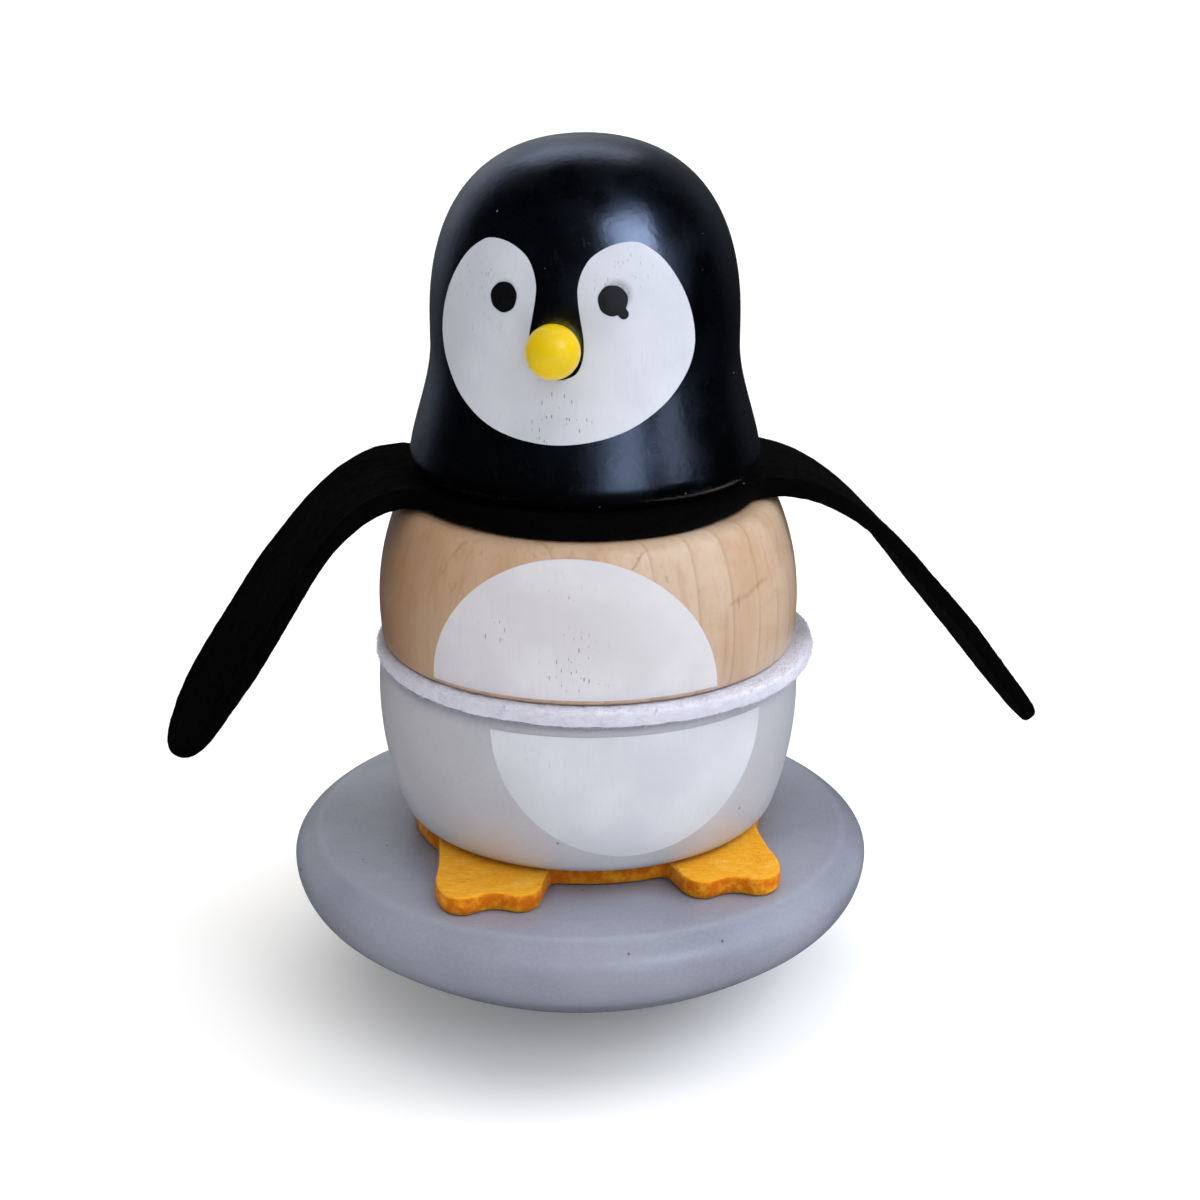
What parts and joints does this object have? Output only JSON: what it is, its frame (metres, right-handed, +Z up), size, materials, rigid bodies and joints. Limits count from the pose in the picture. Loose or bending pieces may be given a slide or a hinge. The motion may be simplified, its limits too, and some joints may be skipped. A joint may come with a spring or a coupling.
{
  "type": "wooden stacking toy",
  "caption": "Penguin-shaped wooden stacking toy: turned body rings, felt feet, belt and wings and a domed head drop over a post that stands in a rocking base.",
  "frame": {"origin": "centre of the small flat on which the rocking base stands", "axes": "+Z up along the post, -Y towards the front, where the nose and feet point, +X to the viewer's right"},
  "size_m": [0.1377, 0.09, 0.1309],
  "materials": {
    "grey_paint": "satin grey paint on wood",
    "black_paint": "satin black paint on wood, with a white printed face",
    "yellow_paint": "glossy yellow paint on wood",
    "clear_wood": "clear satin lacquer on maple, with a white printed belly",
    "plain_wood": "sanded, unfinished",
    "orange_felt": "pressed felt, die-cut edges",
    "pale_felt": "pressed felt, die-cut edges",
    "black_felt": "pressed felt, die-cut edges"
  },
  "bodies": {
    "base": {"rocker_base": "grey_paint", "post": "plain_wood"},
    "feet": {"feet_felt": "orange_felt"},
    "lower": {"lower_body": "grey_paint"},
    "belt": {"belt_felt": "pale_felt"},
    "upper": {"upper_body": "clear_wood"},
    "wings": {"wings_felt": "black_felt"},
    "head": {"head": "black_paint", "nose": "yellow_paint"}
  },
  "joints": [
    {"name": "feet_lift", "type": "slide", "parent": "base", "child": "feet", "axis": [0, 0, 1], "range_m": [0, 0.085]},
    {"name": "lower_lift", "type": "slide", "parent": "feet", "child": "lower", "axis": [0, 0, 1], "range_m": [0, 0.082]},
    {"name": "belt_lift", "type": "slide", "parent": "lower", "child": "belt", "axis": [0, 0, 1], "range_m": [0, 0.057]},
    {"name": "upper_lift", "type": "slide", "parent": "belt", "child": "upper", "axis": [0, 0, 1], "range_m": [0, 0.0545]},
    {"name": "wings_lift", "type": "slide", "parent": "upper", "child": "wings", "axis": [0, 0, 1], "range_m": [0, 0.0315]},
    {"name": "head_lift", "type": "slide", "parent": "wings", "child": "head", "axis": [0, 0, 1], "range_m": [0, 0.028]}
  ]
}
